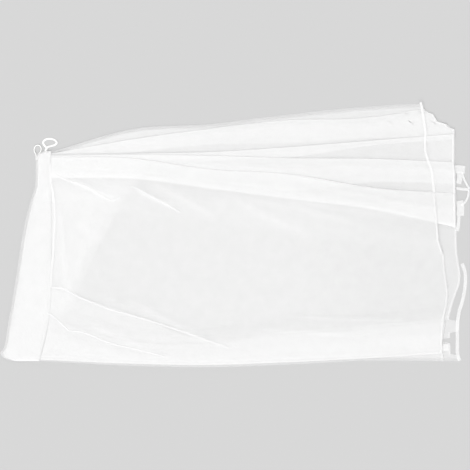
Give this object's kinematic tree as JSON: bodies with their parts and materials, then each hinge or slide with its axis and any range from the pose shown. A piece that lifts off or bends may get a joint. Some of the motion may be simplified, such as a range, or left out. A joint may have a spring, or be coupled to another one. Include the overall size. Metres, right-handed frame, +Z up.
{
  "type": "camping mosquito net",
  "caption": "Box-shaped camping mosquito net of fine white mesh, folded and laid flat, with pleated walls, a folded roof panel and corner loops to hang it by.",
  "frame": {"origin": "on the surface that the net lies on, under the middle of its outline", "axes": "+X from the folded roof towards the hems, +Y across the folded width towards the pleated side with the hanging loops, +Z up from the surface"},
  "size_m": [1.7594, 0.9918, 0.0175],
  "materials": {
    "wall_net": "sheer knitted mesh, matt",
    "roof_net": "sheer knitted mesh, matt",
    "loop_tape": "woven tape, matt"
  },
  "bodies": {
    "root": {"walls": "wall_net", "roof": "roof_net", "tape_loop": "loop_tape", "cord_ring": "loop_tape"}
  },
  "joints": []
}
